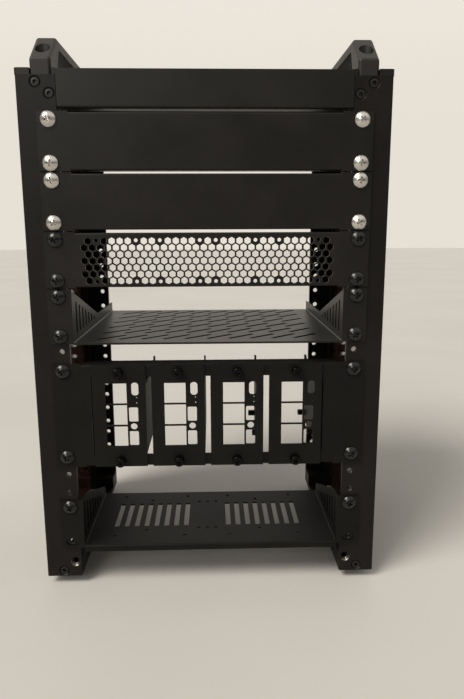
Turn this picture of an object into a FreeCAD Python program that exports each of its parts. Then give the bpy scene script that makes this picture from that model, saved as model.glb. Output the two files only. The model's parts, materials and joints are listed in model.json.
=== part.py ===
import FreeCAD, Part
import math
import os

os.makedirs("parts", exist_ok=True)

# Rack grid, shared by the posts and everything screwed to them.
rack_unit = 44.45
unit_count = 8
hole_edge = 6.35
hole_span = 236.525
hole_pitch = (rack_unit - 2 * hole_edge) / 2
rack_depth = 200.0
top_margin = 25.2
bottom_margin = 26.1

# Posts: a tapped flange with a groove along its outer side for the side panel.
post_flange = 4.0
post_inset = 6.4
post_outset = 23.0
post_skin = 2.6
post_groove_depth = 17.0
post_corner = 1.2
tap_radius = 2.5
side_sheet = 3.0
side_clearance = 0.15
side_corner = 6.0

# Top plate, beams, base rails, corner blocks and feet.
plate_thickness = 4.8
plate_overhang = 0.8
plate_clearance = 0.15
plate_corner = 3.0
beam_sheet = 2.5
beam_rise = 4.4
beam_drop = 23.6
beam_lip = 12.0
beam_clearance = 0.4
block_depth = 21.0
block_height = 18.0
block_clearance = 0.2
base_thickness = 4.0
base_block_height = 15.0
foot_height = 7.4
foot_radius = 8.8
foot_taper = 1.0
foot_setback = 22.0

# Countersunk frame screws at the post ends, the heads sunk a little below the face.
frame_screw_radius = 2.0
frame_head_radius = 4.0
frame_head_depth = 2.2
frame_sink = 0.6
frame_screw_length = 8.0
frame_socket = 1.45
frame_socket_depth = 1.6
frame_screw_step = 5.0
frame_screw_shift = 0.5
frame_screw_near = 5.0
frame_screw_far = 13.0

# Bridge handles.
handle_width = 16.0
handle_toe = 11.8
handle_rise = 31.8
handle_run = 24.5
handle_bar = 7.6
handle_foot = 17.6
handle_lean = 11.4
handle_setback = 0.4
handle_round = 3.0
handle_edge = 2.4
handle_bore = 5.6
handle_screw_at = 12.0
handle_seat = 6.0
cap_radius = 4.9
cap_height = 6.0
cap_socket = 2.5
cap_socket_depth = 3.0
cap_shank = 3.0
cap_length = 20.0

# Sheet panels and their ears.
sheet = 1.5
ear_reach = 8.7375
ear_gap = 0.9
ear_inset = 23.5
lip_depth = 11.0
lip_step = 0.7
bend = 1.3
inner_bend = 1.0
slot_radius = 3.3
slot_stretch = 2.0

# Pan head rack screws.
head_radius = 6.0
head_height = 3.8
head_rim = 1.6
head_crown = 4.3
shank_radius = 2.4
shank_length = 12.0

# Honeycomb vent panel.
comb_pitch = 6.16
comb_flat = 5.36
comb_rows = 7
comb_columns = 32
fan_hole_radius = 1.5
fan_size = 32.0
fan_places = (-71.75, -21.6, 21.6, 71.75)

# Vented shelf.
shelf_depth = 195.0
shelf_inset = 8.9
shelf_drop = 0.9
shelf_wall = 42.0
shelf_lip = 10.5
shelf_slope = 108.0
shelf_slot_count = 7
shelf_slot_pitch = 12.4
shelf_slot_width = 4.6
shelf_slot_start = 11.0
shelf_slot_margin = 6.0
vent_columns = 10
vent_row_pitch = 30.1
vent_pitch = 18.1
vent_length = 29.0
vent_width = 2.6
vent_angle = 43.5
vent_start = 24.6
vent_margin = 5.0

# Base shelf.
base_shelf_depth = 104.0
base_rise = 0.75
base_wall_flat = 15.5
base_wall_rear = 7.6
base_apron = 4.2
base_slot_count = 7
base_slot_pitch = 11.3
base_slot_width = 5.2
base_slot_start = 3.4
base_slot_run = 84.0
base_slot_margin = 6.5
base_slot_drop = 1.5
base_vent_count = 8
base_vent_pitch = 9.0
base_vent_width = 4.6
base_vent_length = 46.0
base_vent_start = 32.3
base_vent_spread = 50.8
base_vent_shift = -3.4
base_hole_radius = 1.6
base_hole_front = 14.5
base_hole_rear = 9.4
base_hole_reach = 30.6
base_middle_hole = -3.4
base_middle_gap = 7.6
base_cluster_pitch = 8.0
base_cluster_inset = 13.0

# Board tray frame and its four trays.
tray_count = 4
tray_pitch = 48.0
tray_gap = 4.6
tray_shift = -1.4
tray_edge = 0.65
frame_over = 5.9
frame_under = 8.7
frame_lip = 15.0
frame_rail = 10.6
slit = 1.3
tray_plate_depth = 88.0
tray_plate_clearance = 1.6
tray_tab = 5.0
port_width = 17.5
port_height = 17.0
port_bar = 1.2
port_left = -11.4
port_top = 27.9
side_port_left = 7.4
side_port_width = 7.6
side_port_height = 12.4
side_port_corner = 1.2
side_port_lift = 0.5
power_port_width = 5.9
power_port_height = 11.0
power_port_left = 9.9
jack_radius = 2.75
jack_across = 11.3
lamp_radius = 0.55
lamp_across = 14.0
lamp_step = 4.4
thumb_radius = 4.1
thumb_length = 7.0
thumb_collar = 1.2
thumb_neck = 3.2
thumb_shank = 1.5
thumb_reach = 8.0
thumb_margin = 6.4
board_length = 58.0
board_width = 49.0
board_setback = 25.5
standoff_radius = 2.9
standoff_length = 6.0
standoff_bore = 1.25

# Where things fall from the sizes above. The origin is on the floor, midway front to back.
front_reach = 2 * sheet + thumb_collar + thumb_length
face = (front_reach - rack_depth) / 2
back = face + rack_depth
post_bottom = foot_height
post_length = unit_count * rack_unit + top_margin + bottom_margin
post_top = post_bottom + post_length
units_top = post_top - top_margin
hole_x = hole_span / 2
post_inner = hole_x - post_inset
post_outer = hole_x + post_outset
groove = side_sheet + 2 * side_clearance
lip_outer = post_outer - post_skin - groove
lip_inner = lip_outer - post_skin
block_center = (post_inner + lip_inner) / 2
panel_half = hole_x + ear_reach
fold_half = panel_half - ear_inset
wall_half = hole_x - shelf_inset
plate_top = post_top + plate_thickness


def unit_top(unit):
    return units_top - (unit - 1) * rack_unit


def hole_z(unit, step):
    return unit_top(unit) - hole_edge - step * hole_pitch


def save(node, solids):
    shape = solids
    if isinstance(solids, list):
        shape = Part.makeCompound(solids)
    shape.exportStep("parts/" + node + ".step")


def box(x_low, x_high, y_low, y_high, z_low, z_high):
    corner = FreeCAD.Vector(x_low, y_low, z_low)
    return Part.makeBox(x_high - x_low, y_high - y_low, z_high - z_low, corner)


def rod(radius, length, x, y, z, axis):
    return Part.makeCylinder(radius, length, FreeCAD.Vector(x, y, z), FreeCAD.Vector(*axis))


def cone(low, high, length, x, y, z, axis):
    return Part.makeCone(low, high, length, FreeCAD.Vector(x, y, z), FreeCAD.Vector(*axis))


def mirror_x(shape):
    return shape.mirror(FreeCAD.Vector(0, 0, 0), FreeCAD.Vector(1, 0, 0))


def mirror_y(shape):
    middle = (face + back) / 2
    return shape.mirror(FreeCAD.Vector(0, middle, 0), FreeCAD.Vector(0, 1, 0))


def loop(points, lay):
    corners = [lay(a, b) for a, b in points]
    return Part.makePolygon(corners + corners[:1])


def ring(a, b, radius, lay):
    normal = (lay(1, 0) - lay(0, 0)).cross(lay(0, 1) - lay(0, 0))
    return Part.Wire(Part.makeCircle(radius, lay(a, b), normal))


def rectangle(a_low, a_high, b_low, b_high):
    return [(a_low, b_low), (a_high, b_low), (a_high, b_high), (a_low, b_high)]


def hexagon(a, b, reach, first=0):
    turns = [math.radians(first + 60 * step) for step in range(6)]
    return [(a + reach * math.cos(turn), b + reach * math.sin(turn)) for turn in turns]


def obround(a, b, stretch, radius, lay):
    low_start = lay(a - stretch, b - radius)
    low_end = lay(a + stretch, b - radius)
    high_start = lay(a + stretch, b + radius)
    high_end = lay(a - stretch, b + radius)
    right = Part.Arc(low_end, lay(a + stretch + radius, b), high_start).toShape()
    left = Part.Arc(high_end, lay(a - stretch - radius, b), low_start).toShape()
    return Part.Wire([Part.makeLine(low_start, low_end), right, Part.makeLine(high_start, high_end), left])


def plate(wires, along, amount):
    flat = Part.makeFace(wires, "Part::FaceMakerBullseye")
    return flat.extrude(FreeCAD.Vector(*along) * amount)


def round_edges(solid, radius, wanted):
    edges = [edge for edge in solid.Edges if wanted(edge)]
    return solid.makeFillet(radius, edges)


def runs_along(edge, axis):
    if not isinstance(edge.Curve, Part.Line):
        return False
    return abs(abs(edge.Curve.Direction.dot(FreeCAD.Vector(*axis))) - 1) < 1e-6


def front_lay(y):
    return lambda a, b: FreeCAD.Vector(a, y, b)


def floor_lay(z):
    return lambda a, b: FreeCAD.Vector(a, b, z)


def side_lay(x):
    return lambda a, b: FreeCAD.Vector(x, a, b)


# Frame screw holes sit on a diagonal, near the post end on the outer side.
# The lower inner hole is left empty.
frame_outer = block_center - frame_screw_shift + frame_screw_step
frame_inner = block_center - frame_screw_shift - frame_screw_step
empty_spot = (frame_inner, post_bottom + frame_screw_far)
screw_spots = [
    (frame_outer, post_top - frame_screw_near),
    (frame_inner, post_top - frame_screw_far),
    (frame_outer, post_bottom + frame_screw_near),
]
frame_spots = screw_spots + [empty_spot]
head_slope = (frame_head_radius - frame_screw_radius) / frame_head_depth
sink_radius = frame_head_radius + frame_sink * head_slope
sink_depth = frame_head_depth + frame_sink


def make_post():
    groove_end = face + post_flange + post_groove_depth
    behind = face + post_flange
    skin = post_outer - post_skin
    outline = [
        (post_inner, face), (post_outer, face), (post_outer, groove_end), (skin, groove_end), (skin, behind),
        (lip_outer, behind), (lip_outer, groove_end), (lip_inner, groove_end), (lip_inner, behind),
        (post_inner, behind),
    ]
    post = plate([loop(outline, floor_lay(post_bottom))], (0, 0, 1), post_length)

    def outer_corner(edge):
        place = edge.Vertexes[0].Point
        return runs_along(edge, (0, 0, 1)) and place.x > post_outer - 0.01 and place.y < face + 0.01

    post = round_edges(post, post_corner, outer_corner)
    cuts = []
    for unit in range(1, unit_count + 1):
        for step in range(3):
            cuts.append(rod(tap_radius, post_flange + 2, hole_x, face - 1, hole_z(unit, step), (0, 1, 0)))
    for x, z in frame_spots:
        cuts.append(rod(frame_screw_radius, post_flange + 2, x, face - 1, z, (0, 1, 0)))
        cuts.append(cone(sink_radius, frame_screw_radius, sink_depth, x, face, z, (0, 1, 0)))
    return post.cut(Part.makeCompound(cuts))


def make_frame_screw(x, z):
    top = face + frame_sink
    head = cone(frame_head_radius, frame_screw_radius, frame_head_depth, x, top, z, (0, 1, 0))
    shank_run = frame_screw_length - frame_head_depth
    shank = rod(frame_screw_radius, shank_run, x, top + frame_head_depth, z, (0, 1, 0))
    corners = hexagon(x, z, frame_socket / math.cos(math.pi / 6))
    socket = plate([loop(corners, front_lay(top))], (0, 1, 0), frame_socket_depth)
    return head.fuse(shank).removeSplitter().cut(socket)


def frame_screw_bores(top):
    bores = []
    for x, z in frame_spots:
        if (z > units_top) == top:
            bores.append(rod(frame_screw_radius, frame_sink + frame_screw_length, x, face, z, (0, 1, 0)))
    return bores


front_post = make_post()
save("front_right_post", front_post)
save("front_left_post", mirror_x(front_post))
save("rear_right_post", mirror_y(front_post))
save("rear_left_post", mirror_x(mirror_y(front_post)))

frame_screws = [make_frame_screw(x, z) for x, z in screw_spots]
frame_screws = frame_screws + [mirror_x(screw) for screw in frame_screws]
save("front_frame_screws", frame_screws)
save("rear_frame_screws", [mirror_y(screw) for screw in frame_screws])


def make_side_panel():
    inside = lip_outer + side_clearance
    edges = rectangle(face + post_flange + side_clearance, back - post_flange - side_clearance,
                      post_bottom + side_clearance, post_top - side_clearance)
    panel = plate([loop(edges, side_lay(inside))], (1, 0, 0), side_sheet)
    return round_edges(panel, side_corner, lambda edge: runs_along(edge, (1, 0, 0)))


side_panel = make_side_panel()
save("right_side_panel", side_panel)
save("left_side_panel", mirror_x(side_panel))


# The handle feet stand on the corner blocks, so their screws end in the blocks.
handle_front = face + handle_setback
handle_back = back - handle_setback
screw_rows = (face + handle_screw_at, back - handle_screw_at)


def make_corner_block():
    low = post_top - block_height
    block = box(post_inner, lip_inner - block_clearance, face + post_flange, face + post_flange + block_depth,
                low, post_top)
    bores = frame_screw_bores(True)
    cap_end = post_top + handle_seat - cap_length
    bores.append(rod(cap_shank, cap_length, block_center, screw_rows[0], cap_end, (0, 0, 1)))
    return block.cut(Part.makeCompound(bores))


corner_block = make_corner_block()
save("front_right_corner_block", corner_block)
save("front_left_corner_block", mirror_x(corner_block))
save("rear_right_corner_block", mirror_y(corner_block))
save("rear_left_corner_block", mirror_x(mirror_y(corner_block)))


def make_base_rail():
    step = face + post_flange
    end = back - post_flange
    high = post_bottom + base_block_height
    low = post_bottom + base_thickness
    outline = [(step, post_bottom), (end, post_bottom), (end, high), (end - block_depth, high),
               (end - block_depth, low), (step + block_depth, low), (step + block_depth, high), (step, high)]
    width = lip_inner - block_clearance - post_inner
    rail = plate([loop(outline, side_lay(post_inner))], (1, 0, 0), width)
    bores = frame_screw_bores(False)
    return rail.cut(Part.makeCompound(bores + [mirror_y(bore) for bore in bores]))


base_rail = make_base_rail()
save("right_base_rail", base_rail)
save("left_base_rail", mirror_x(base_rail))


def make_foot(x, y):
    return cone(foot_radius - foot_taper, foot_radius, foot_height, x, y, 0, (0, 0, 1))


foot_rows = (face + foot_setback, back - foot_setback)
save("front_right_foot", make_foot(block_center, foot_rows[0]))
save("front_left_foot", make_foot(-block_center, foot_rows[0]))
save("rear_right_foot", make_foot(block_center, foot_rows[1]))
save("rear_left_foot", make_foot(-block_center, foot_rows[1]))


def handle_notch(side, row):
    near = block_center - handle_width / 2 - plate_clearance
    far = block_center + handle_width / 2 + plate_clearance
    start = face - 1
    lean = handle_lean * plate_thickness / (handle_rise - handle_bar)
    end = face + handle_setback + handle_foot + lean + plate_clearance
    notch = box(near, far, start, end, post_top - 1, plate_top + 1)
    if side < 0:
        notch = mirror_x(notch)
    if row > 0:
        notch = mirror_y(notch)
    return notch


def make_top_plate():
    half_width = post_outer + plate_overhang
    top = box(-half_width, half_width, face, back, post_top, plate_top)
    top = round_edges(top, plate_corner, lambda edge: runs_along(edge, (0, 0, 1)))
    half = post_inner - beam_clearance + plate_clearance
    front = box(-half, half, face - 1, face + beam_sheet, post_top - 1, plate_top + 1)
    cuts = [front, mirror_y(front)]
    for side in (-1, 1):
        for row in (-1, 1):
            cuts.append(handle_notch(side, row))
    return top.cut(Part.makeCompound(cuts))


save("top_plate", make_top_plate())


def make_beam():
    low = post_top - beam_drop
    high = post_top + beam_rise
    outline = [(face, low), (face + beam_lip, low), (face + beam_lip, low + beam_sheet),
               (face + beam_sheet, low + beam_sheet), (face + beam_sheet, high), (face, high)]
    half = post_inner - beam_clearance
    beam = plate([loop(outline, side_lay(-half))], (1, 0, 0), 2 * half)

    def front_bottom(edge):
        place = edge.Vertexes[0].Point
        return runs_along(edge, (1, 0, 0)) and place.y < face + 0.01 and place.z < low + 0.01

    return round_edges(beam, beam_sheet * 0.8, front_bottom)


beam = make_beam()
save("front_top_beam", beam)
save("rear_top_beam", mirror_y(beam))


def make_handle():
    low = post_top
    knee = low + handle_toe
    high = low + handle_rise
    shoulder = handle_front + handle_run
    middle = (face + back) / 2
    under = high - handle_bar
    foot_end = handle_front + handle_foot
    inner = foot_end + handle_lean
    front_half = [(handle_front, low), (handle_front, knee), (shoulder, high)]
    rear_half = [(2 * middle - y, z) for y, z in reversed(front_half)]
    mouth = [(2 * middle - foot_end, low), (2 * middle - inner, under), (inner, under), (foot_end, low)]
    outline = front_half + rear_half + mouth
    handle = plate([loop(outline, side_lay(block_center - handle_width / 2))], (1, 0, 0), handle_width)

    def bent(edge):
        return runs_along(edge, (1, 0, 0)) and edge.Vertexes[0].Point.z > low + 1

    handle = round_edges(handle, handle_round, bent)

    def outer_line(edge):
        ends = [vertex.Point for vertex in edge.Vertexes]
        across = abs(ends[0].x - ends[-1].x) < 1e-6
        above = min(end.z for end in ends) > low + handle_toe - handle_round - 1
        box_mid = edge.BoundBox.Center
        slope = (box_mid.y - handle_front, handle_back - box_mid.y)
        outside = box_mid.z > high - 0.5 or min(slope) < handle_run * 0.62
        return across and above and outside

    handle = round_edges(handle, handle_edge, outer_line)
    cuts = []
    for y in screw_rows:
        cuts.append(rod(handle_bore, handle_rise, block_center, y, low + handle_seat, (0, 0, 1)))
        cuts.append(rod(cap_shank + side_clearance, handle_rise, block_center, y, low - 1, (0, 0, 1)))
    return handle.cut(Part.makeCompound(cuts))


handle = make_handle()
save("right_handle", handle)
save("left_handle", mirror_x(handle))


def make_cap_screw(y):
    seat = post_top + handle_seat
    head = rod(cap_radius, cap_height, block_center, y, seat, (0, 0, 1))
    shank = rod(cap_shank, cap_length, block_center, y, seat - cap_length, (0, 0, 1))
    corners = hexagon(block_center, y, cap_socket / math.cos(math.pi / 6))
    socket = plate([loop(corners, floor_lay(seat + cap_height))], (0, 0, -1), cap_socket_depth)
    return head.fuse(shank).removeSplitter().cut(socket)


cap_screws = [make_cap_screw(y) for y in screw_rows]
save("handle_screws", cap_screws + [mirror_x(screw) for screw in cap_screws])


# Rack screws: the ear lies on the post face, so the head lands on the sheet.
def make_rack_screw(x, z):
    seat = face - sheet
    bevel = head_height - head_rim
    rim = rod(head_radius, head_rim, x, seat, z, (0, -1, 0))
    crown = cone(head_radius, head_crown, bevel, x, seat - head_rim, z, (0, -1, 0))
    shank = rod(shank_radius, shank_length, x, seat, z, (0, 1, 0))
    return rim.fuse([crown, shank]).removeSplitter()


def ear_slots(levels, y):
    wires = []
    for z in levels:
        for side in (-1, 1):
            wires.append(obround(side * hole_x, z, slot_stretch, slot_radius, front_lay(y)))
    return wires


def make_folded_panel(low, high, levels, openings, depth):
    front = face - sheet
    top = high - lip_step
    bottom = low + lip_step
    right_half = [(fold_half, bottom), (fold_half, low), (panel_half, low), (panel_half, high),
                  (fold_half, high), (fold_half, top)]
    left_half = [(-x, z) for x, z in reversed(right_half)]
    wires = [loop(right_half + left_half, front_lay(front))] + ear_slots(levels, front) + openings
    body = plate(wires, (0, 1, 0), sheet)
    upper = box(-fold_half, fold_half, face, face + depth, top - sheet, top)
    lower = box(-fold_half, fold_half, face, face + depth, bottom, bottom + sheet)
    body = body.fuse([upper, lower]).removeSplitter()

    def folded(edge):
        place = edge.BoundBox.Center
        level = abs(place.z - top) < 0.01 or abs(place.z - bottom) < 0.01
        return runs_along(edge, (1, 0, 0)) and level and abs(place.y - front) < 0.01

    return round_edges(body, bend, folded)


def make_channel_panel(unit, openings):
    high = unit_top(unit) - ear_gap / 2
    low = unit_top(unit) - rack_unit + ear_gap / 2
    levels = (hole_z(unit, 0), hole_z(unit, 2))
    return make_folded_panel(low, high, levels, openings, lip_depth)


def make_comb(unit):
    middle = unit_top(unit) - rack_unit / 2
    lay = front_lay(face - sheet)
    row_pitch = comb_pitch * math.sqrt(3) / 2
    reach = comb_flat / math.sqrt(3)
    center = (comb_columns - 1) / 2
    fan_holes = [place + side * fan_size / 2 for place in fan_places for side in (-1, 1)]
    drills = [round(x / comb_pitch + center) for x in fan_holes]
    last = (comb_rows - 1) / 2
    openings = []
    for row in range(comb_rows):
        z = middle + (row - last) * row_pitch
        odd = row % 2
        for column in range(comb_columns - odd):
            x = (column - center + odd / 2) * comb_pitch
            if row in (0, comb_rows - 1) and column in drills:
                openings.append(ring(x, z, fan_hole_radius, lay))
                continue
            openings.append(loop(hexagon(x, z, reach, 90), lay))
    return openings


save("upper_blank_panel", make_channel_panel(1, []))
save("lower_blank_panel", make_channel_panel(2, []))
save("vent_panel", make_channel_panel(3, make_comb(3)))


def slanted_slot(a, b, length, width, angle, lay):
    run = math.radians(angle)
    ahead = (math.cos(run) * length / 2, math.sin(run) * length / 2)
    aside = (-math.sin(run) * width / 2, math.cos(run) * width / 2)
    corners = [(a + s * ahead[0] + t * aside[0], b + s * ahead[1] + t * aside[1])
               for s, t in ((-1, -1), (1, -1), (1, 1), (-1, 1))]
    return loop(corners, lay)


def make_ear(low, high, levels):
    lay = front_lay(face - sheet)
    ear = rectangle(wall_half - sheet, panel_half, low, high)
    wires = [loop(ear, lay)]
    for z in levels:
        wires.append(obround(hole_x, z, slot_stretch, slot_radius, lay))
    return plate(wires, (0, 1, 0), sheet)


def make_bend(start, end, floor):
    lay = front_lay(start)
    inside = wall_half - sheet
    turn = inner_bend * (1 - math.sqrt(0.5))
    corner = lay(inside, floor)
    foot = lay(inside - inner_bend, floor)
    head = lay(inside, floor + inner_bend)
    arc = Part.Arc(foot, lay(inside - turn, floor + turn), head).toShape()
    wire = Part.Wire([Part.makeLine(corner, foot), arc, Part.makeLine(head, corner)])
    return plate([wire], (0, 1, 0), end - start)


def front_edge(front, level):
    def wanted(edge):
        place = edge.BoundBox.Center
        at_front = abs(place.y - front) < 0.01 and abs(place.z - level) < 0.01
        return at_front and runs_along(edge, (1, 0, 0))
    return wanted


def make_vented_shelf(unit):
    high = unit_top(unit) - ear_gap / 2
    low = unit_top(unit) - rack_unit + ear_gap / 2
    under = low - shelf_drop
    floor = under + sheet
    front = face - sheet
    rear = face + shelf_depth
    crest = floor + shelf_wall
    turn = face + shelf_slope
    lip = under + shelf_lip
    side = [(front, under), (rear, under), (rear, lip), (turn, lip), (front, crest)]
    fall = (crest - lip) / (turn - front)
    inside = wall_half - sheet
    wires = [loop(side, side_lay(inside))]
    for place in range(shelf_slot_count):
        start = face + shelf_slot_start + place * shelf_slot_pitch
        end = start + shelf_slot_width
        base = floor + shelf_slot_margin
        tops = [crest - fall * (y - front) - shelf_slot_margin for y in (start, end)]
        if tops[1] < base + shelf_slot_width / 2:
            continue
        wires.append(loop([(start, base), (end, base), (end, tops[1]), (start, tops[0])], side_lay(inside)))
    wall = plate(wires, (1, 0, 0), sheet)
    ear = make_ear(low, high, (hole_z(unit, 0), hole_z(unit, 2)))
    lay = floor_lay(under)
    wires = [loop(rectangle(-wall_half, wall_half, front, rear), lay)]
    lean = math.radians(vent_angle)
    vent_reach = (vent_length * math.sin(lean) + vent_width * math.cos(lean)) / 2
    vent_rows = int((shelf_depth - vent_start - vent_reach - vent_margin) / vent_row_pitch) + 1
    for row in range(vent_rows):
        for column in range(vent_columns):
            x = (column - (vent_columns - 1) / 2) * vent_pitch
            y = face + vent_start + row * vent_row_pitch
            wires.append(slanted_slot(x, y, vent_length, vent_width, vent_angle, lay))
    bed = plate(wires, (0, 0, 1), sheet)
    corner = make_bend(front, rear, floor)
    sides = [wall, mirror_x(wall), ear, mirror_x(ear), corner, mirror_x(corner)]
    shelf = bed.fuse(sides).removeSplitter()

    def folded(edge):
        place = edge.BoundBox.Center
        edge_of_floor = runs_along(edge, (0, 1, 0)) and abs(place.z - under) < 0.01
        return edge_of_floor and abs(abs(place.x) - wall_half) < 0.01

    return round_edges(shelf, bend, folded)


save("vented_shelf", make_vented_shelf(4))


def make_base_shelf(unit):
    high = unit_top(unit) - ear_gap / 2
    low = unit_top(unit) - rack_unit + ear_gap / 2
    under = low + base_rise
    floor = under + sheet
    front = face - sheet
    rear = face + base_shelf_depth
    tail = floor + base_wall_rear
    inside = wall_half - sheet
    profile = [(front, under), (rear, under), (rear, tail), (front + base_wall_flat, high), (front, high)]
    wires = [loop(profile, side_lay(inside))]
    base = floor + base_slot_margin
    fall = (high - base_slot_drop - base) / base_slot_run
    for place in range(base_slot_count):
        start = face + base_slot_start + place * base_slot_pitch
        end = start + base_slot_width
        tops = [high - base_slot_drop - fall * (y - face) for y in (start, end)]
        if tops[1] < base + base_slot_width / 2:
            continue
        wires.append(loop([(start, base), (end, base), (end, tops[1]), (start, tops[0])], side_lay(inside)))
    wall = plate(wires, (1, 0, 0), sheet)
    ear = make_ear(low, high, (hole_z(unit, 0), hole_z(unit, 2)))
    lay = floor_lay(under)
    wires = [loop(rectangle(-wall_half, wall_half, front, rear), lay)]
    start = face + base_vent_start
    hole_rows = ((face + base_hole_front, 1), (rear - base_hole_rear, -1))
    for side in (-1, 1):
        center = base_vent_shift + side * base_vent_spread
        for place in range(base_vent_count):
            x = center + (place - (base_vent_count - 1) / 2) * base_vent_pitch
            low_x = x - base_vent_width / 2
            slot = rectangle(low_x, low_x + base_vent_width, start, start + base_vent_length)
            wires.append(loop(slot, lay))
        for y, inward in hole_rows:
            wires.append(ring(center - base_hole_reach, y, base_hole_radius, lay))
            wires.append(ring(center + base_hole_reach, y, base_hole_radius, lay))
        for y in (start - base_middle_gap, start + base_vent_length + base_middle_gap):
            wires.append(ring(center + base_middle_hole, y, base_hole_radius, lay))
    for y, inward in hole_rows:
        for step in (-1, 0, 1):
            x = base_vent_shift + step * base_cluster_pitch
            wires.append(ring(x, y + inward * base_cluster_inset, base_hole_radius, lay))
    bed = plate(wires, (0, 0, 1), sheet)
    apron = box(-inside, inside, front, face, under - base_apron, under)
    bed = bed.fuse(apron).removeSplitter()
    bed = round_edges(bed, bend, front_edge(front, floor))
    corner = make_bend(front + bend, rear, floor)
    sides = [wall, mirror_x(wall), ear, mirror_x(ear), corner, mirror_x(corner)]
    shelf = bed.fuse(sides).removeSplitter()

    def folded(edge):
        place = edge.BoundBox.Center
        edge_of_floor = runs_along(edge, (0, 1, 0)) and abs(place.z - under) < 0.01
        return edge_of_floor and abs(abs(place.x) - wall_half) < 0.01

    return round_edges(shelf, bend, folded)


save("base_shelf", make_base_shelf(unit_count))


# Tray frame: two rack rows carry it, and a wide window lets the trays through.
frame_rows = (hole_z(5, 1), hole_z(7, 0))
frame_high = frame_rows[0] + frame_over
frame_low = frame_rows[1] - frame_under
frame_middle = (frame_high + frame_low) / 2
window_half = (tray_count * tray_pitch - tray_gap) / 2 + slit
window_high = frame_high - frame_rail
window_low = frame_low + frame_rail


def tray_center(place):
    return tray_shift + (place - (tray_count - 1) / 2) * tray_pitch


def thumb_levels():
    return (frame_low + thumb_margin, frame_high - thumb_margin)


def make_tray_frame():
    lay = front_lay(face - sheet)
    window = rectangle(tray_shift - window_half, tray_shift + window_half, window_low, window_high)
    openings = [loop(window, lay)]
    for place in range(tray_count):
        for z in thumb_levels():
            openings.append(ring(tray_center(place), z, thumb_shank, lay))
    return make_folded_panel(frame_low, frame_high, frame_rows, openings, frame_lip)


save("tray_frame", make_tray_frame())


def rounded(a_low, a_high, b_low, b_high, radius, lay):
    middle_a = (a_low + a_high) / 2
    middle_b = (b_low + b_high) / 2
    turn = radius * (1 - math.sqrt(0.5))
    corners = [(a_low, b_low, 1, 1), (a_high, b_low, -1, 1), (a_high, b_high, -1, -1), (a_low, b_high, 1, -1)]
    edges = []
    last = None
    first = None
    for index, (a, b, away, up) in enumerate(corners):
        level = lay(a + away * radius, b)
        upright = lay(a, b + up * radius)
        start, end = (upright, level) if index % 2 == 0 else (level, upright)
        arc = Part.Arc(start, lay(a + away * turn, b + up * turn), end).toShape()
        if last is not None and (start - last).Length > 1e-6:
            edges.append(Part.makeLine(last, start))
        if first is None:
            first = start
        edges.append(arc)
        last = end
    if (first - last).Length > 1e-6:
        edges.append(Part.makeLine(last, first))
    return Part.Wire(edges)


def make_tray(place):
    center = tray_center(place)
    front = face - 2 * sheet
    lay = front_lay(front)
    high = frame_high - tray_edge
    low = frame_low + tray_edge
    half = (tray_pitch - tray_gap) / 2
    wires = [loop(rectangle(center - half, center + half, low, high), lay)]
    top = frame_middle + port_top
    for step in range(3):
        upper = top - step * (port_height + port_bar)
        port = rectangle(center + port_left, center + port_left + port_width, upper - port_height, upper)
        wires.append(loop(port, lay))
    power_low = top + port_bar / 2 - power_port_height
    power_left = center + power_port_left
    wires.append(rounded(power_left, power_left + power_port_width, power_low, power_low + power_port_height,
                         power_port_width * 0.45, lay))
    side_left = center + side_port_left
    side_low = top - 3 * port_height - 2 * port_bar + side_port_lift
    second_low = side_low + side_port_height + 2 * jack_radius + 2 * port_bar
    for base in (side_low, second_low):
        wires.append(rounded(side_left, side_left + side_port_width, base, base + side_port_height,
                             side_port_corner, lay))
    jack_z = side_low + side_port_height + port_bar + jack_radius
    wires.append(ring(center + jack_across, jack_z, jack_radius, lay))
    lamp_high = power_low - port_bar - lamp_radius
    for z in (lamp_high, lamp_high - lamp_step):
        wires.append(ring(center + lamp_across, z, lamp_radius, lay))
    for z in thumb_levels():
        wires.append(ring(center, z, thumb_shank, lay))
    front_plate = plate(wires, (0, 1, 0), sheet)
    plate_high = window_high - tray_plate_clearance
    plate_low = window_low + tray_plate_clearance
    rear = face + tray_plate_depth
    tab = [(rear - 2 * tray_tab, plate_high - tray_tab), (rear - tray_tab, plate_high), (rear, plate_high)]
    outline = [(face - sheet, plate_low), (face - sheet, plate_high - tray_tab)] + tab
    outline = outline + [(rear, plate_low + tray_tab), (rear - tray_tab, plate_low)]
    back_plate = plate([loop(outline, side_lay(center + half - sheet))], (1, 0, 0), sheet)
    return front_plate.fuse(back_plate).removeSplitter()


def make_thumb_screw(x, z):
    seat = face - 2 * sheet
    collar = rod(thumb_neck, thumb_collar, x, seat, z, (0, -1, 0))
    knob = rod(thumb_radius, thumb_length, x, seat - thumb_collar, z, (0, -1, 0))
    shank = rod(thumb_shank, thumb_reach, x, seat, z, (0, 1, 0))
    return knob.fuse([collar, shank]).removeSplitter()


def board_spots():
    return [(face + board_setback + along, frame_middle + across * board_width / 2)
            for along in (0, board_length) for across in (-1, 1)]


def make_standoff(x, y, z):
    lay = side_lay(x)
    wires = [loop(hexagon(y, z, standoff_radius), lay), ring(y, z, standoff_bore, lay)]
    return plate(wires, (-1, 0, 0), standoff_length)


thumb_screws = []
standoffs = []
for place in range(tray_count):
    save("board_tray_" + str(place + 1), make_tray(place))
    center = tray_center(place)
    for z in thumb_levels():
        thumb_screws.append(make_thumb_screw(center, z))
    for y, z in board_spots():
        wall = center + (tray_pitch - tray_gap) / 2 - sheet
        standoffs.append(make_standoff(wall, y, z))
save("tray_thumb_screws", thumb_screws)
save("board_standoffs", standoffs)

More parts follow.
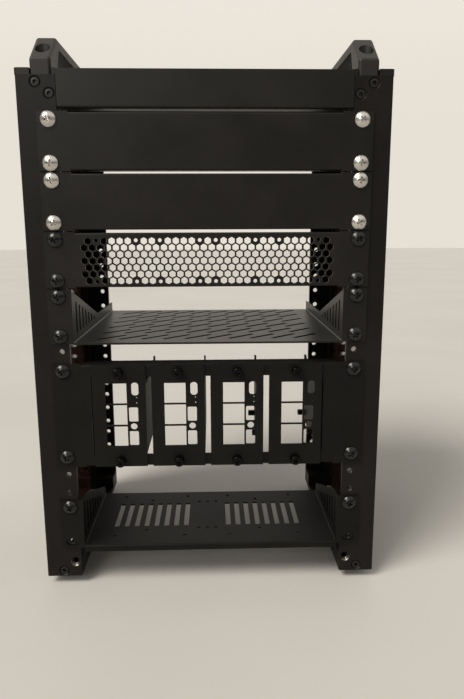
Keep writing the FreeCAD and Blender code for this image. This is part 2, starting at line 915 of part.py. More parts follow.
silver_rows = [hole_z(1, 0), hole_z(1, 2), hole_z(2, 0), hole_z(2, 2)]
black_rows = [hole_z(3, 0), hole_z(3, 2), hole_z(4, 0), hole_z(4, 2), frame_rows[0], frame_rows[1],
              hole_z(unit_count, 0)]
save("silver_rack_screws", [make_rack_screw(side * hole_x, z) for z in silver_rows for side in (-1, 1)])
save("black_rack_screws", [make_rack_screw(side * hole_x, z) for z in black_rows for side in (-1, 1)])
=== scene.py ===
import bpy
import bmesh
import json
import math
from mathutils import Matrix, Vector


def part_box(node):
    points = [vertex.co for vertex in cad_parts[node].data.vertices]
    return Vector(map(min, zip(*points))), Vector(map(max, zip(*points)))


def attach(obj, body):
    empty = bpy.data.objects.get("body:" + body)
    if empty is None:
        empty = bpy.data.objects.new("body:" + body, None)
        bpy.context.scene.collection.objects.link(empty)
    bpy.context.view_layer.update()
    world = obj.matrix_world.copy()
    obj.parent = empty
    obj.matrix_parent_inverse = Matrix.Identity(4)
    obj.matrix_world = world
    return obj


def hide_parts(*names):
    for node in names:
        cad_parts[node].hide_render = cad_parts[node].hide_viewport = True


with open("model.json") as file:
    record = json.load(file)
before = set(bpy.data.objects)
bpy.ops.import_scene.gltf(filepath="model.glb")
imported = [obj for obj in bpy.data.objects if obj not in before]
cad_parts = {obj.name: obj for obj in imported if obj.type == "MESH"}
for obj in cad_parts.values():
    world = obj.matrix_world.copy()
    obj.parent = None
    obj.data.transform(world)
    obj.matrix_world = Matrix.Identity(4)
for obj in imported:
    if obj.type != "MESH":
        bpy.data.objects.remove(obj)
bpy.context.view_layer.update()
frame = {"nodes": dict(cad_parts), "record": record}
nodes = frame["nodes"]
scene = bpy.context.scene

# shared frame, metres: rack grid and the face the panels are screwed to
mm = 0.001
unitCount = 8
holesPerUnit = 3
trayCount = 4
rackUnit = 44.45 * mm
holeEdge = 6.35 * mm
holePitch = (rackUnit - 2 * holeEdge) / (holesPerUnit - 1)
holeX = 236.525 * mm / 2
postLow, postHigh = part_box("front_left_post")
faceY = postLow.y
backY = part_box("rear_left_post")[1].y
topMargin = 25.2 * mm
unitsTop = postHigh.z - topMargin
print("frame loaded, posts from", round(postLow.z, 4), "to", round(postHigh.z, 4))


def holeZ(unit, step):
    return unitsTop - (unit - 1) * rackUnit - holeEdge - step * holePitch


# node tree helpers
def newMaterial(name):
    material = bpy.data.materials.new(name)
    material.use_nodes = True
    tree = material.node_tree
    return material, tree, tree.nodes["Principled BSDF"]


def setInputs(node, values):
    for key, value in values.items():
        node.inputs[key].default_value = value


def objectCoords(tree):
    return tree.nodes.new("ShaderNodeTexCoord").outputs["Object"]


def noise(tree, coords, scale, detail, rough):
    node = tree.nodes.new("ShaderNodeTexNoise")
    setInputs(node, {"Scale": scale, "Detail": detail, "Roughness": rough})
    tree.links.new(coords, node.inputs["Vector"])
    return node.outputs["Fac"]


def ramp(tree, value, stops):
    node = tree.nodes.new("ShaderNodeValToRGB")
    for element, (place, colour) in zip(node.color_ramp.elements, stops):
        element.position = place
        element.color = (*colour, 1.0)
    tree.links.new(value, node.inputs["Fac"])
    return node.outputs["Color"]


def spread(tree, value, low, high):
    node = tree.nodes.new("ShaderNodeMapRange")
    setInputs(node, {"To Min": low, "To Max": high})
    tree.links.new(value, node.inputs["Value"])
    return node.outputs["Result"]


def rise(tree, value, low, high):
    node = tree.nodes.new("ShaderNodeMapRange")
    node.interpolation_type = "SMOOTHSTEP"
    setInputs(node, {"From Min": low, "From Max": high})
    tree.links.new(value, node.inputs["Value"])
    return node.outputs["Result"]


def larger(tree, first, second):
    node = tree.nodes.new("ShaderNodeMath")
    node.operation = "MAXIMUM"
    tree.links.new(first, node.inputs[0])
    tree.links.new(second, node.inputs[1])
    return node.outputs["Value"]


def blend(tree, share, first, second):
    node = tree.nodes.new("ShaderNodeMix")
    node.data_type = "RGBA"
    tree.links.new(share, node.inputs["Factor"])
    for place, value in ((6, first), (7, second)):  # the node's two colour inputs
        if isinstance(value, tuple):
            node.inputs[place].default_value = (*value, 1.0)
        else:
            tree.links.new(value, node.inputs[place])
    return node.outputs[2]  # its colour output


def bump(tree, shader, height, strength, distance):
    node = tree.nodes.new("ShaderNodeBump")
    setInputs(node, {"Strength": strength, "Distance": distance})
    tree.links.new(height, node.inputs["Height"])
    tree.links.new(node.outputs["Normal"], shader.inputs["Normal"])


# coats, metals and rubber: a cloudy tone and sheen over a fine grain
def coated(name, dark, light, rough, grain, depth, specular, metallic=0.0):
    material, tree, shader = newMaterial(name)
    coords = objectCoords(tree)
    cloud = noise(tree, coords, scale=28.0, detail=5.0, rough=0.6)
    fine = noise(tree, coords, scale=grain, detail=3.0, rough=0.5)
    tree.links.new(ramp(tree, cloud, [(0.3, dark), (0.72, light)]), shader.inputs["Base Color"])
    tree.links.new(spread(tree, cloud, *rough), shader.inputs["Roughness"])
    bump(tree, shader, fine, strength=0.35, distance=depth)
    setInputs(shader, {"Specular IOR Level": specular, "Metallic": metallic})
    return material


panelBlack = coated("panelBlack", dark=(0.0074, 0.0065, 0.0057), light=(0.0120, 0.0106, 0.0092),
                    rough=(0.34, 0.44), grain=2600.0, depth=0.00006, specular=0.2)
# rougher, duller black for the trays, the tray frame and the base shelf; its darker colour is painted shade
# of the lower rack
trayBlackPaintedShade = coated("trayBlackPaintedShade", dark=(0.0042, 0.0037, 0.0032), light=(0.0070, 0.0062, 0.0054),
                   rough=(0.5, 0.6), grain=2600.0, depth=0.00006, specular=0.14)
frameBlack = coated("frameBlack", dark=(0.0050, 0.0041, 0.0036), light=(0.0082, 0.0067, 0.0058),
                    rough=(0.38, 0.5), grain=4200.0, depth=0.00004, specular=0.18)
topBlack = coated("topBlack", dark=(0.0066, 0.0058, 0.0050), light=(0.0104, 0.0092, 0.0080),
                  rough=(0.36, 0.46), grain=4200.0, depth=0.00004, specular=0.24)
handleGrey = coated("handleGrey", dark=(0.0105, 0.0092, 0.0080), light=(0.0165, 0.0145, 0.0126),
                    rough=(0.42, 0.56), grain=3200.0, depth=0.00012, specular=0.3)
blackOxide = coated("blackOxide", dark=(0.0010, 0.0009, 0.0008), light=(0.0024, 0.0022, 0.0020),
                    rough=(0.17, 0.26), grain=5200.0, depth=0.000005, specular=0.42)
thumbBlack = coated("thumbBlack", dark=(0.0006, 0.0006, 0.0006), light=(0.0014, 0.0013, 0.0012),
                    rough=(0.16, 0.26), grain=5200.0, depth=0.000005, specular=0.14)
headSteel = coated("headSteel", dark=(0.0090, 0.0080, 0.0072), light=(0.0145, 0.0130, 0.0117),
                   rough=(0.3, 0.42), grain=5200.0, depth=0.00003, specular=0.3)
footRubber = coated("footRubber", dark=(0.012, 0.012, 0.012), light=(0.02, 0.02, 0.02),
                    rough=(0.7, 0.85), grain=1800.0, depth=0.0002, specular=0.3)
brightSteel = coated("brightSteel", dark=(0.50, 0.475, 0.44), light=(0.66, 0.63, 0.585),
                     rough=(0.2, 0.34), grain=3800.0, depth=0.00003, specular=0.5, metallic=1.0)
bareThread = coated("bareThread", dark=(0.12, 0.113, 0.103), light=(0.22, 0.208, 0.19),
                    rough=(0.26, 0.4), grain=5200.0, depth=0.00003, specular=0.5, metallic=1.0)
# near black for the faces of cross recesses, hex sockets and floor slots: painted shade in these hollows
recessPaintedShade = coated("recessPaintedShade", dark=(0.0012, 0.0011, 0.0010), light=(0.0028, 0.0025, 0.0022),
                     rough=(0.5, 0.65), grain=5200.0, depth=0.00003, specular=0.1)
# dark brown for the cross recess faces of the bright steel screws: painted shade in the recess
recessSteelPaintedShade = coated("recessSteelPaintedShade", dark=(0.026, 0.021, 0.017), light=(0.045, 0.037, 0.030),
                     rough=(0.45, 0.6), grain=5200.0, depth=0.00003, specular=0.3)
bareSink = coated("bareSink", dark=(0.14, 0.130, 0.118), light=(0.22, 0.206, 0.187),
                  rough=(0.3, 0.42), grain=5200.0, depth=0.00003, specular=0.5, metallic=1.0)

# glossy side sheets, half clear, their red-brown colour partly the smoke's own and partly a painted warm
# reflection
smoked = {"dark": (0.0560, 0.0250, 0.0195), "light": (0.0720, 0.0340, 0.0265), "rough": (0.04, 0.16),
          "specular": 0.5, "clear": 0.6, "index": 1.49, "coat": 0.4, "coatRough": 0.05}


def smokedSheet():
    spec = smoked
    material, tree, shader = newMaterial("smokedPanel")
    smudge = noise(tree, objectCoords(tree), scale=9.0, detail=6.0, rough=0.62)
    # sheet colour: the smoke's own, raised and reddened as a painted warm reflection
    tintAndReflection = ramp(tree, smudge, [(0.3, spec["dark"]), (0.75, spec["light"])])
    tree.links.new(tintAndReflection, shader.inputs["Base Color"])
    tree.links.new(spread(tree, smudge, *spec["rough"]), shader.inputs["Roughness"])
    setInputs(shader, {"Specular IOR Level": spec["specular"], "Transmission Weight": spec["clear"],
                       "IOR": spec["index"], "Coat Weight": spec["coat"],
                       "Coat Roughness": spec["coatRough"]})
    return material


smokedPanel = smokedSheet()

slotLook = {
    "frame_black": frameBlack,
    "top_black": topBlack,
    "smoked_panel": smokedPanel,
    "handle_grey": handleGrey,
    "panel_black": panelBlack,
    "bright_steel": brightSteel,
    "black_hardware": blackOxide,
    "foot_rubber": footRubber,
}
# trays, tray frame and base shelf take the darker black: painted shade of the lower rack
lowerShadeNodes = ["board_tray_" + str(number) for number in range(1, trayCount + 1)]
lowerShadeNodes += ["tray_frame", "base_shelf"]
for entry in frame["record"]["subparts"]:
    node = nodes[entry["node"]]
    look = trayBlackPaintedShade if entry["node"] in lowerShadeNodes else slotLook[entry["material_slot"]]
    for place in node.material_slots:
        place.material = look


# mesh helpers
def bridge(mesh, first, second):
    count = max(len(first), len(second))
    for index in range(count):
        after = (index + 1) % count
        if len(first) == 1:
            mesh.faces.new((first[0], second[index], second[after]))
        elif len(second) == 1:
            mesh.faces.new((first[index], second[0], first[after]))
        else:
            mesh.faces.new((first[index], second[index], second[after], first[after]))


# profile of (radius, y) turned about the y axis
def lathe(profile, turns):
    mesh = bmesh.new()
    rings = []
    for radius, along in profile:
        if radius == 0:
            rings.append([mesh.verts.new((0, along, 0))])
            continue
        ringVerts = []
        for index in range(turns):
            angle = 2 * math.pi * index / turns
            ringVerts.append(mesh.verts.new((radius * math.cos(angle), along, radius * math.sin(angle))))
        rings.append(ringVerts)
    for first, second in zip(rings, rings[1:]):
        bridge(mesh, first, second)
    bmesh.ops.recalc_face_normals(mesh, faces=mesh.faces)
    return mesh


def prism(radius, reach, turns):
    return lathe([(0, -reach), (radius, -reach), (radius, reach), (0, reach)], turns)


def meshObject(name, mesh, material, sharpAngle=32):
    data = bpy.data.meshes.new(name)
    mesh.to_mesh(data)
    mesh.free()
    data.materials.append(material)
    data.shade_smooth()
    data.set_sharp_from_angle(angle=math.radians(sharpAngle))
    thing = bpy.data.objects.new(name, data)
    scene.collection.objects.link(thing)
    return thing


# a CAD node's mesh with its loose triangles merged
def closedCopy(name, node, material):
    mesh = bmesh.new()
    mesh.from_mesh(nodes[node].data)
    bmesh.ops.remove_doubles(mesh, verts=mesh.verts, dist=1e-6)
    for face in mesh.faces:
        face.material_index = 0
    return meshObject(name, mesh, material)


def applied(thing):
    bpy.context.view_layer.update()
    graph = bpy.context.evaluated_depsgraph_get()
    data = bpy.data.meshes.new_from_object(thing.evaluated_get(graph), depsgraph=graph)
    thing.modifiers.clear()
    thing.data = data
    return thing


def carve(thing, cutter, sharpAngle=32):
    modifier = thing.modifiers.new("recess", "BOOLEAN")
    modifier.operation = "DIFFERENCE"
    modifier.solver = "EXACT"
    modifier.object = cutter
    applied(thing)
    bpy.data.objects.remove(cutter)
    thing.data.shade_smooth()
    thing.data.set_sharp_from_angle(angle=math.radians(sharpAngle))
    return thing


# flat sheet faces keep their own normals beside a rounded fold
def flatten(thing):
    modifier = thing.modifiers.new("flatten", "WEIGHTED_NORMAL")
    modifier.mode = "FACE_AREA"
    modifier.weight = 100
    modifier.keep_sharp = True
    return applied(thing)


# cross recess that narrows from its mouth, ahead of the head, to its floor
crossTaper = {"lead": 1.5 * mm, "mouthReach": 1.2, "mouthWidth": 1.1, "floorReach": 0.5, "floorWidth": 0.75}


def crossCutter(spec, y):
    reach, width = spec["crossReach"], spec["crossWidth"]
    mouth = (y - crossTaper["lead"], reach * crossTaper["mouthReach"], width * crossTaper["mouthWidth"])
    bottom = (y + spec["crossDepth"], reach * crossTaper["floorReach"], width * crossTaper["floorWidth"])
    mesh = bmesh.new()
    rings = []
    for along, arm, half in (mouth, bottom):
        ringVerts = []
        for turn in range(4):
            ahead = Vector((math.cos(turn * math.pi / 2), 0, math.sin(turn * math.pi / 2)))
            aside = Vector((-ahead.z, 0, ahead.x))
            for spot in (ahead * arm - aside * half, ahead * arm + aside * half, ahead * half + aside * half):
                ringVerts.append(mesh.verts.new(spot + Vector((0, along, 0))))
        rings.append(ringVerts)
    near, far = rings
    mesh.faces.new(near)
    mesh.faces.new(far[::-1])
    bridge(mesh, near, far)
    bmesh.ops.recalc_face_normals(mesh, faces=mesh.faces)
    return mesh


# repeated hardware: one master piece set out on points by Geometry Nodes, recess faces keep their painted
# shade
def scatter(name, master, places, material, turnRange=0.0):
    points = bpy.data.meshes.new(name + "Points")
    points.from_pydata([Vector(place) for place in places], [], [])
    carrier = bpy.data.objects.new(name, points)
    scene.collection.objects.link(carrier)
    tree = bpy.data.node_groups.new(name + "Layout", "GeometryNodeTree")
    tree.interface.new_socket("Geometry", in_out="INPUT", socket_type="NodeSocketGeometry")
    piece = tree.interface.new_socket("Piece", in_out="INPUT", socket_type="NodeSocketObject")
    turn = tree.interface.new_socket("Turn Range", in_out="INPUT", socket_type="NodeSocketFloat")
    tree.interface.new_socket("Geometry", in_out="OUTPUT", socket_type="NodeSocketGeometry")
    start = tree.nodes.new("NodeGroupInput")
    end = tree.nodes.new("NodeGroupOutput")
    info = tree.nodes.new("GeometryNodeObjectInfo")
    spin = tree.nodes.new("FunctionNodeRandomValue")
    spin.data_type = "FLOAT"
    spin.inputs["Seed"].default_value = 7
    angles = tree.nodes.new("ShaderNodeCombineXYZ")
    setOut = tree.nodes.new("GeometryNodeInstanceOnPoints")
    solid = tree.nodes.new("GeometryNodeRealizeInstances")
    finish = tree.nodes.new("GeometryNodeInputMaterialIndex")
    sort = tree.nodes.new("FunctionNodeCompare")
    sort.data_type = "INT"
    sort.operation = "EQUAL"
    paint = tree.nodes.new("GeometryNodeSetMaterial")
    paint.inputs["Material"].default_value = material
    link = tree.links.new
    link(start.outputs["Piece"], info.inputs["Object"])
    link(start.outputs["Turn Range"], spin.inputs[3])  # the largest float
    link(spin.outputs[1], angles.inputs["Y"])
    link(start.outputs["Geometry"], setOut.inputs["Points"])
    link(info.outputs["Geometry"], setOut.inputs["Instance"])
    link(angles.outputs["Vector"], setOut.inputs["Rotation"])
    link(setOut.outputs["Instances"], solid.inputs["Geometry"])
    link(solid.outputs["Geometry"], paint.inputs["Geometry"])
    link(finish.outputs["Material Index"], sort.inputs[2])  # whole number, equal to 0 on the outside
    link(sort.outputs["Result"], paint.inputs["Selection"])
    link(paint.outputs["Geometry"], end.inputs["Geometry"])
    layout = carrier.modifiers.new("layout", "NODES")
    layout.node_group = tree
    layout[piece.identifier] = master
    layout[turn.identifier] = turnRange
    applied(carrier)
    bpy.data.objects.remove(master)
    return carrier


def shankThread(spec, start, stop):
    profile = []
    along = start
    while along < stop:
        profile.append((spec["shank"], along + spec["threadFlat"]))
        profile.append((spec["root"], along + 0.5 * spec["threadPitch"]))
        along += spec["threadPitch"]
    return profile


# pan head rack screws with a cross recess and a threaded shank
rackScrew = {"headRadius": 6.0 * mm, "headHeight": 3.8 * mm, "crown": 1.1 * mm, "shoulder": 0.2 * mm,
             "rimIn": 0.06 * mm, "rimStart": 0.16 * mm, "rimEnd": 0.34 * mm, "edge": 0.12 * mm,
             "shank": 2.42 * mm, "root": 2.12 * mm, "length": 12.0 * mm, "tip": 0.4 * mm,
             "threadPitch": 1.0 * mm, "threadFlat": 0.15 * mm, "turns": 48, "domeSteps": 14,
             "crossReach": 3.1 * mm, "crossWidth": 0.66 * mm, "crossDepth": 2.2 * mm, "turnRange": 1.5}


def rackScrewMaster(name, material, shade):
    spec = rackScrew
    radius, height, length = spec["headRadius"], spec["headHeight"], spec["length"]
    base = radius - spec["shoulder"]
    cap = height - spec["crown"]
    domeRadius = (base * base + cap * cap) / (2 * cap)
    slope = math.asin(base / domeRadius)
    profile = []
    for step in range(spec["domeSteps"] + 1):
        angle = slope * step / spec["domeSteps"]
        profile.append((domeRadius * math.sin(angle), -height + domeRadius * (1 - math.cos(angle))))
    profile += [(radius - spec["rimIn"], -spec["crown"] + spec["rimStart"]),
                (radius, -spec["crown"] + spec["rimEnd"]), (radius, -spec["edge"]),
                (radius - spec["edge"], 0), (spec["shank"], 0)]
    profile += shankThread(spec, 0.0, length - spec["threadPitch"])
    profile += [(spec["root"], length - spec["tip"]), (spec["root"] - spec["tip"], length), (0, length)]
    head = meshObject(name, lathe(profile, spec["turns"]), material)
    # the cross recess's faces carry painted shade
    return carve(head, meshObject(name + "Cut", crossCutter(spec, -height), shade))


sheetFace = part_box("upper_blank_panel")[0].y
silverRows = [holeZ(1, 0), holeZ(1, 2), holeZ(2, 0), holeZ(2, 2)]
blackRows = [holeZ(3, 0), holeZ(3, 2), holeZ(4, 0), holeZ(4, 2), holeZ(5, 1), holeZ(7, 0), holeZ(8, 0)]
for name, node, rows, material, shade in (
        ("silverScrews", "silver_rack_screws", silverRows, brightSteel, recessSteelPaintedShade),
        ("blackScrews", "black_rack_screws", blackRows, blackOxide, recessPaintedShade)):
    places = [(side * holeX, sheetFace, z) for z in rows for side in (-1, 1)]
    master = rackScrewMaster(name + "Master", material, shade)
    piece = scatter(name, master, places, material, rackScrew["turnRange"])
    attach(piece, "root")
    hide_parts(node)
print("rack screws set out")


# honeycomb vent panel: the lower blank panel moved down a unit, opened by rows of cells and fan holes
comb = {"unit": 3, "pitch": 6.22 * mm, "rowPitch": 5.15 * mm, "flat": 4.95 * mm, "rows": 7, "columns": 31,
        "drop": 0.68 * mm, "fanColumns": (1, 6, 9, 14), "fanRise": 16.0 * mm, "fanRadius": 1.5 * mm,
        "fanTurns": 24, "sheet": 1.5 * mm, "reach": 2.0 * mm}


def cellMaster():
    corner = comb["flat"] / math.sqrt(3)
    mesh = prism(corner, comb["reach"], 6)
    upright = Matrix.Rotation(math.radians(30), 3, "Y")
    bmesh.ops.rotate(mesh, verts=mesh.verts, cent=(0, 0, 0), matrix=upright)
    return meshObject("cellMaster", mesh, panelBlack)


def fanHoleMaster():
    mesh = prism(comb["fanRadius"], comb["reach"], comb["fanTurns"])
    return meshObject("fanHoleMaster", mesh, panelBlack)


# rows of cells by turns one longer; a fan hole takes the place of some cells in the outer rows
def ventPanelCuts():
    spec = comb
    middleY = sheetFace + spec["sheet"] / 2
    middleZ = unitsTop - (spec["unit"] - 0.5) * rackUnit - spec["drop"]
    cells, fanHoles = [], []
    for row in range(spec["rows"]):
        odd = row % 2
        z = middleZ + (row - (spec["rows"] - 1) / 2) * spec["rowPitch"]
        edge = row in (0, spec["rows"] - 1)
        for column in range(spec["columns"] + odd):
            step = column - (spec["columns"] + odd - 1) / 2
            if edge and abs(step) in spec["fanColumns"]:
                fanOffset = math.copysign(spec["fanRise"], z - middleZ)
                fanHoles.append((step * spec["pitch"], middleY, middleZ + fanOffset))
            else:
                cells.append((step * spec["pitch"], middleY, z))
    return cells, fanHoles


ventPanel = closedCopy("ventPanel", "lower_blank_panel", panelBlack)
ventPanel.data.transform(Matrix.Translation((0, 0, -rackUnit)))
cells, fanHoles = ventPanelCuts()
carve(ventPanel, scatter("combCells", cellMaster(), cells, panelBlack))
carve(ventPanel, scatter("fanHoles", fanHoleMaster(), fanHoles, panelBlack))
flatten(ventPanel)
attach(ventPanel, "root")
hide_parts("vent_panel")
print("vent panel opened with", len(cells), "cells and", len(fanHoles), "fan holes")


# vented shelf with its slanted floor slots cut wider, painted shade on their cut faces
floorSlot = {"length": 29.2 * mm, "width": 3.9 * mm, "depth": 4.0 * mm, "lean": 43.5, "columns": 10,
             "rows": 6, "columnPitch": 18.1 * mm, "rowPitch": 30.1 * mm, "start": 24.6 * mm,
             "sheet": 1.5 * mm}


def slotMaster():
    spec = floorSlot
    mesh = bmesh.new()
    bmesh.ops.create_cube(mesh, size=1.0)
    bmesh.ops.scale(mesh, verts=mesh.verts, vec=(spec["length"], spec["width"], spec["depth"]))
    lean = Matrix.Rotation(math.radians(spec["lean"]), 3, "Z")
    bmesh.ops.rotate(mesh, verts=mesh.verts, cent=(0, 0, 0), matrix=lean)
    return meshObject("slotMaster", mesh, recessPaintedShade)


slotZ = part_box("vented_shelf")[0].z + floorSlot["sheet"] / 2
slotPlaces = []
for row in range(floorSlot["rows"]):
    for column in range(floorSlot["columns"]):
        x = (column - (floorSlot["columns"] - 1) / 2) * floorSlot["columnPitch"]
        slotPlaces.append((x, faceY + floorSlot["start"] + row * floorSlot["rowPitch"], slotZ))
ventedShelf = closedCopy("ventedShelf", "vented_shelf", panelBlack)
carve(ventedShelf, scatter("floorSlots", slotMaster(), slotPlaces, recessPaintedShade))
flatten(ventedShelf)
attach(ventedShelf, "root")
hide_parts("vented_shelf")
print("shelf opened with", len(slotPlaces), "floor slots")


# bare threads in the tapped holes that carry no screw
thread = {"crest": 2.22 * mm, "root": 2.49 * mm, "pitch": 1.0 * mm, "depth": 4.0 * mm, "turns": 28,
          "rootFlat": 0.04 * mm, "crestStart": 0.42 * mm, "crestEnd": 0.58 * mm, "sharpAngle": 60}


def threadMaster():
    spec = thread
    profile = []
    count = int(round(spec["depth"] / spec["pitch"]))
    for index in range(count):
        base = index * spec["pitch"]
        profile.append((spec["root"], base + spec["rootFlat"]))
        profile.append((spec["crest"], base + spec["crestStart"]))
        profile.append((spec["crest"], base + spec["crestEnd"]))
    profile.append((spec["root"], spec["depth"] - spec["rootFlat"]))
    mesh = lathe(profile, spec["turns"])
    bmesh.ops.reverse_faces(mesh, faces=mesh.faces)
    return meshObject("threadMaster", mesh, bareThread, spec["sharpAngle"])


usedFront = {round(z, 5) for z in silverRows + blackRows}
freePlaces = []
for unit in range(1, unitCount + 1):
    for step in range(holesPerUnit):
        z = holeZ(unit, step)
        for side in (-1, 1):
            freePlaces.append((side * holeX, backY - thread["depth"], z))
            if round(z, 5) not in usedFront:
                freePlaces.append((side * holeX, faceY, z))
tapped = scatter("tappedThreads", threadMaster(), freePlaces, bareThread)
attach(tapped, "root")
print("threads in", len(freePlaces), "free holes")


# bare metal cones of the countersinks that hold no screw, low on each post
sink = {"mouth": 4.1 * mm, "throat": 2.04 * mm, "start": 0.46 * mm, "depth": 2.76 * mm, "x": 116.81 * mm,
        "rise": 13.0 * mm, "turns": 40}


def sinkMaster(name, way):
    spec = sink
    mesh = lathe([(spec["mouth"], way * spec["start"]), (spec["throat"], way * spec["depth"])], spec["turns"])
    bmesh.ops.reverse_faces(mesh, faces=mesh.faces)
    return meshObject(name, mesh, bareSink)


for name, y, way in (("frontSinks", faceY, 1), ("rearSinks", backY, -1)):
    places = [(side * sink["x"], y, postLow.z + sink["rise"]) for side in (-1, 1)]
    cones = scatter(name, sinkMaster(name + "Master", way), places, bareSink)
    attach(cones, "root")
print("bare countersinks lined")


# countersunk frame screws: shouldered head sunk in the post, hex socket, threaded shank
frameScrew = {"face": 3.0 * mm, "rim": 3.3 * mm, "rimIn": 0.1 * mm, "rimEase": 0.06 * mm,
              "rimStart": 0.2 * mm, "rimEnd": 0.74 * mm, "neck": 2.2 * mm, "shank": 1.95 * mm,
              "root": 1.7 * mm, "length": 8.0 * mm, "threadPitch": 0.7 * mm, "threadFlat": 0.15 * mm,
              "socket": 1.8 * mm, "socketLead": 1.0 * mm, "socketDepth": 2.0 * mm, "sunk": 0.6 * mm,
              "outerX": 126.81 * mm, "innerX": 116.81 * mm, "near": 5.0 * mm, "far": 13.0 * mm,
              "turns": 40, "turnRange": 1.5}


def frameScrewMaster(name, way):
    spec = frameScrew
    rim, length = spec["rim"], spec["length"]
    profile = [(0, 0), (spec["face"], 0), (rim - spec["rimIn"], spec["rimEase"]), (rim, spec["rimStart"]),
               (rim, spec["rimEnd"]), (spec["shank"], spec["neck"])]
    profile += shankThread(spec, spec["neck"], length - 1.5 * spec["threadPitch"])
    profile += [(spec["root"], length), (0, length)]
    screw = meshObject(name, lathe([(radius, way * y) for radius, y in profile], spec["turns"]), headSteel)
    mouth, bottom, socket = -spec["socketLead"], spec["socketDepth"], spec["socket"]
    hexagon = [(0, mouth), (socket, mouth), (socket, bottom), (0, bottom)]
    # the hex socket's faces carry painted shade
    cutter = meshObject(name + "Cut", lathe([(radius, way * y) for radius, y in hexagon], 6), recessPaintedShade)
    return carve(screw, cutter)


for name, node, y, way in (
        ("frontFrameScrews", "front_frame_screws", faceY, 1),
        ("rearFrameScrews", "rear_frame_screws", backY, -1)):
    spec = frameScrew
    places = []
    for side in (-1, 1):
        places.append((side * spec["outerX"], y + way * spec["sunk"], postHigh.z - spec["near"]))
        places.append((side * spec["innerX"], y + way * spec["sunk"], postHigh.z - spec["far"]))
        places.append((side * spec["outerX"], y + way * spec["sunk"], postLow.z + spec["near"]))
    piece = scatter(name, frameScrewMaster(name + "Master", way), places, headSteel, spec["turnRange"])
    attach(piece, "root")
    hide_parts(node)
print("frame screws set out")


# thumb screws: straight knurl, cross recess in the crown, thin collar
# crown and foot rows: share of the radius, mm along from that end of the knob, knurl depth in mm
thumb = {"radius": 4.1 * mm, "length": 7.0 * mm, "collar": 1.2 * mm, "neck": 3.2 * mm,
         "shank": 1.45 * mm, "reach": 8.0 * mm, "margin": 6.4 * mm, "ridges": 26, "ridgeSteps": 4,
         "crown": ((0.62, 0, 0), (0.78, 0.05, 0), (0.89, 0.22, 0), (0.95, 0.5, 0.1), (0.98, 0.8, 0.2),
                   (1, 1.0, 0.26)),
         "foot": ((1, -0.6, 0.26), (0.95, -0.1, 0), (0.9, 0, 0)),
         "crossReach": 2.3 * mm, "crossWidth": 0.55 * mm, "crossDepth": 1.5 * mm,
         "sharpAngle": 38, "turnRange": 1.5}


def thumbMaster():
    spec = thumb
    mesh = bmesh.new()
    segments = spec["ridges"] * spec["ridgeSteps"]
    start = -spec["collar"]
    end = start - spec["length"]
    levels = []
    for edge, rows in ((end, spec["crown"]), (start, spec["foot"])):
        levels += [(share * spec["radius"], edge + along * mm, knurl * mm) for share, along, knurl in rows]
    levels += [(spec["neck"], start, 0), (spec["neck"], 0, 0), (spec["shank"], 0, 0),
               (spec["shank"], spec["reach"], 0)]
    rings = []
    for radius, along, knurl in levels:
        ringVerts = []
        for index in range(segments):
            angle = 2 * math.pi * index / segments
            out = radius - knurl * (0.5 - 0.5 * math.cos(spec["ridges"] * angle))
            ringVerts.append(mesh.verts.new((out * math.cos(angle), along, out * math.sin(angle))))
        rings.append(ringVerts)
    for first, second in zip(rings, rings[1:]):
        bridge(mesh, first, second)
    mesh.faces.new(rings[0])
    mesh.faces.new(rings[-1][::-1])
    bmesh.ops.recalc_face_normals(mesh, faces=mesh.faces)
    knob = meshObject("thumbMaster", mesh, thumbBlack, spec["sharpAngle"])
    # the cross recess's faces carry painted shade
    cutter = meshObject("thumbCut", crossCutter(spec, end), recessPaintedShade)
    return carve(knob, cutter, spec["sharpAngle"])


frameLow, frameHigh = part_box("tray_frame")
thumbPlaces = []
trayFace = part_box("board_tray_1")[0].y
for number in range(1, trayCount + 1):
    low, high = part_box("board_tray_" + str(number))
    for z in (frameLow.z + thumb["margin"], frameHigh.z - thumb["margin"]):
        thumbPlaces.append(((low.x + high.x) / 2, trayFace, z))
thumbs = scatter("thumbScrews", thumbMaster(), thumbPlaces, thumbBlack, thumb["turnRange"])
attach(thumbs, "root")
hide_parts("tray_thumb_screws")
print("thumb screws set out")


# studio: pale floor, soft lamps, the photograph's camera
paleFloor = {"dark": (0.56, 0.54, 0.505), "light": (0.60, 0.58, 0.545), "rough": 0.55, "specular": 0.3,
             "corners": ((-6, -4), (6, -4), (6, 8), (-6, 8))}


def floorLook():
    spec = paleFloor
    material, tree, shader = newMaterial("paleFloor")
    tone = noise(tree, objectCoords(tree), scale=3.0, detail=3.0, rough=0.5)
    pale = ramp(tree, tone, [(0.3, spec["dark"]), (0.7, spec["light"])])
    tree.links.new(pale, shader.inputs["Base Color"])
    setInputs(shader, {"Roughness": spec["rough"], "Specular IOR Level": spec["specular"]})
    return material


floorMesh = bmesh.new()
floorMesh.faces.new([floorMesh.verts.new((x, y, 0)) for x, y in paleFloor["corners"]])
floor = meshObject("floor", floorMesh, floorLook())

# world light: bright behind the rack and overhead, dimmer in front
studio = {"ambient": (0.40, 0.385, 0.36), "front": (0.24, 0.23, 0.215), "behind": (0.80, 0.745, 0.66),
          "overhead": (0.95, 0.91, 0.85), "behindRise": (-0.35, 0.55), "overheadRise": (0.1, 0.7)}


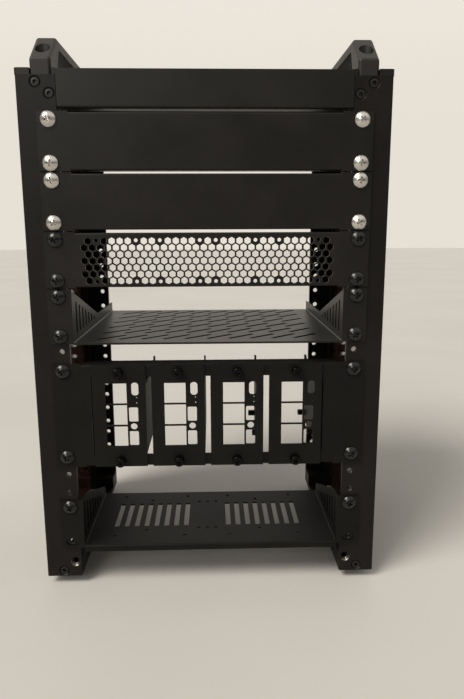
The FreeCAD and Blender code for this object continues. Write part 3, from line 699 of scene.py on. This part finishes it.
def studioWorld():
    spec = studio
    world = bpy.data.worlds.new("studio")
    scene.world = world
    world.use_nodes = True
    tree = world.node_tree
    ways = tree.nodes.new("ShaderNodeSeparateXYZ")
    tree.links.new(tree.nodes.new("ShaderNodeTexCoord").outputs["Generated"], ways.inputs["Vector"])
    back = rise(tree, ways.outputs["Y"], *spec["behindRise"])
    above = rise(tree, ways.outputs["Z"], *spec["overheadRise"])
    around = blend(tree, back, spec["front"], spec["behind"])
    view = blend(tree, above, around, spec["overhead"])
    path = tree.nodes.new("ShaderNodeLightPath").outputs
    direct = larger(tree, path["Is Camera Ray"], path["Is Glossy Ray"])
    seen = larger(tree, direct, path["Is Transmission Ray"])
    tree.links.new(blend(tree, seen, spec["ambient"], view), tree.nodes["Background"].inputs["Color"])


studioWorld()

keyLamp = {"from": (-0.527, -0.412, 0.743), "distance": 2, "spread": 0.5, "strength": 2.7,
           "colour": (1.0, 0.95, 0.88)}


def sunLamp():
    spec = keyLamp
    data = bpy.data.lights.new("key", "SUN")
    data.energy = spec["strength"]
    data.angle = spec["spread"]
    data.color = spec["colour"]
    lamp = bpy.data.objects.new("key", data)
    lamp.location = Vector(spec["from"]) * spec["distance"]
    lamp.rotation_euler = Vector(spec["from"]).to_track_quat("Z", "Y").to_euler()
    scene.collection.objects.link(lamp)


windowLamp = {"place": (-0.85, -1.9, 1.05), "target": (0, 0, 0.35), "size": (0.6, 0.5), "power": 7.5,
              "colour": (1.0, 0.97, 0.92)}


def softWindow():
    spec = windowLamp
    data = bpy.data.lights.new("window", "AREA")
    data.shape = "RECTANGLE"
    data.size, data.size_y = spec["size"]
    data.energy = spec["power"]
    data.color = spec["colour"]
    lamp = bpy.data.objects.new("window", data)
    lamp.location = spec["place"]
    lamp.rotation_euler = (Vector(spec["place"]) - Vector(spec["target"])).to_track_quat("Z", "Y").to_euler()
    lamp.visible_camera = False
    scene.collection.objects.link(lamp)


sunLamp()
softWindow()

# camera fitted to the rack grid: angles in radians, focal length and frame height in pixels
cameraFit = {"place": (3.2 * mm, faceY - 492.04 * mm, unitsTop - 85.4 * mm), "pitch": 0.19644,
             "yaw": 0.0315, "roll": -0.0034, "focal": 619.07, "frameHeight": 699}


def photoCamera():
    spec = cameraFit
    pitch, yaw, roll = spec["pitch"], spec["yaw"], spec["roll"]
    forward = Vector((math.sin(yaw) * math.cos(pitch), math.cos(yaw) * math.cos(pitch), -math.sin(pitch)))
    right = Vector((math.cos(yaw), -math.sin(yaw), 0))
    up = Vector((math.sin(yaw) * math.sin(pitch), math.cos(yaw) * math.sin(pitch), math.cos(pitch)))
    rightRolled = right * math.cos(roll) + up * math.sin(roll)
    upRolled = up * math.cos(roll) - right * math.sin(roll)
    data = bpy.data.cameras.new("photoCamera")
    data.sensor_width = 36.0
    data.lens = spec["focal"] / spec["frameHeight"] * data.sensor_width
    data.clip_start = 0.01
    camera = bpy.data.objects.new("photoCamera", data)
    axes = Matrix((rightRolled, upRolled, -forward)).transposed()
    camera.matrix_world = Matrix.Translation(spec["place"]) @ axes.to_4x4()
    scene.collection.objects.link(camera)
    scene.camera = camera


photoCamera()
scene.view_settings.view_transform = "Standard"
print("camera and lamps placed")
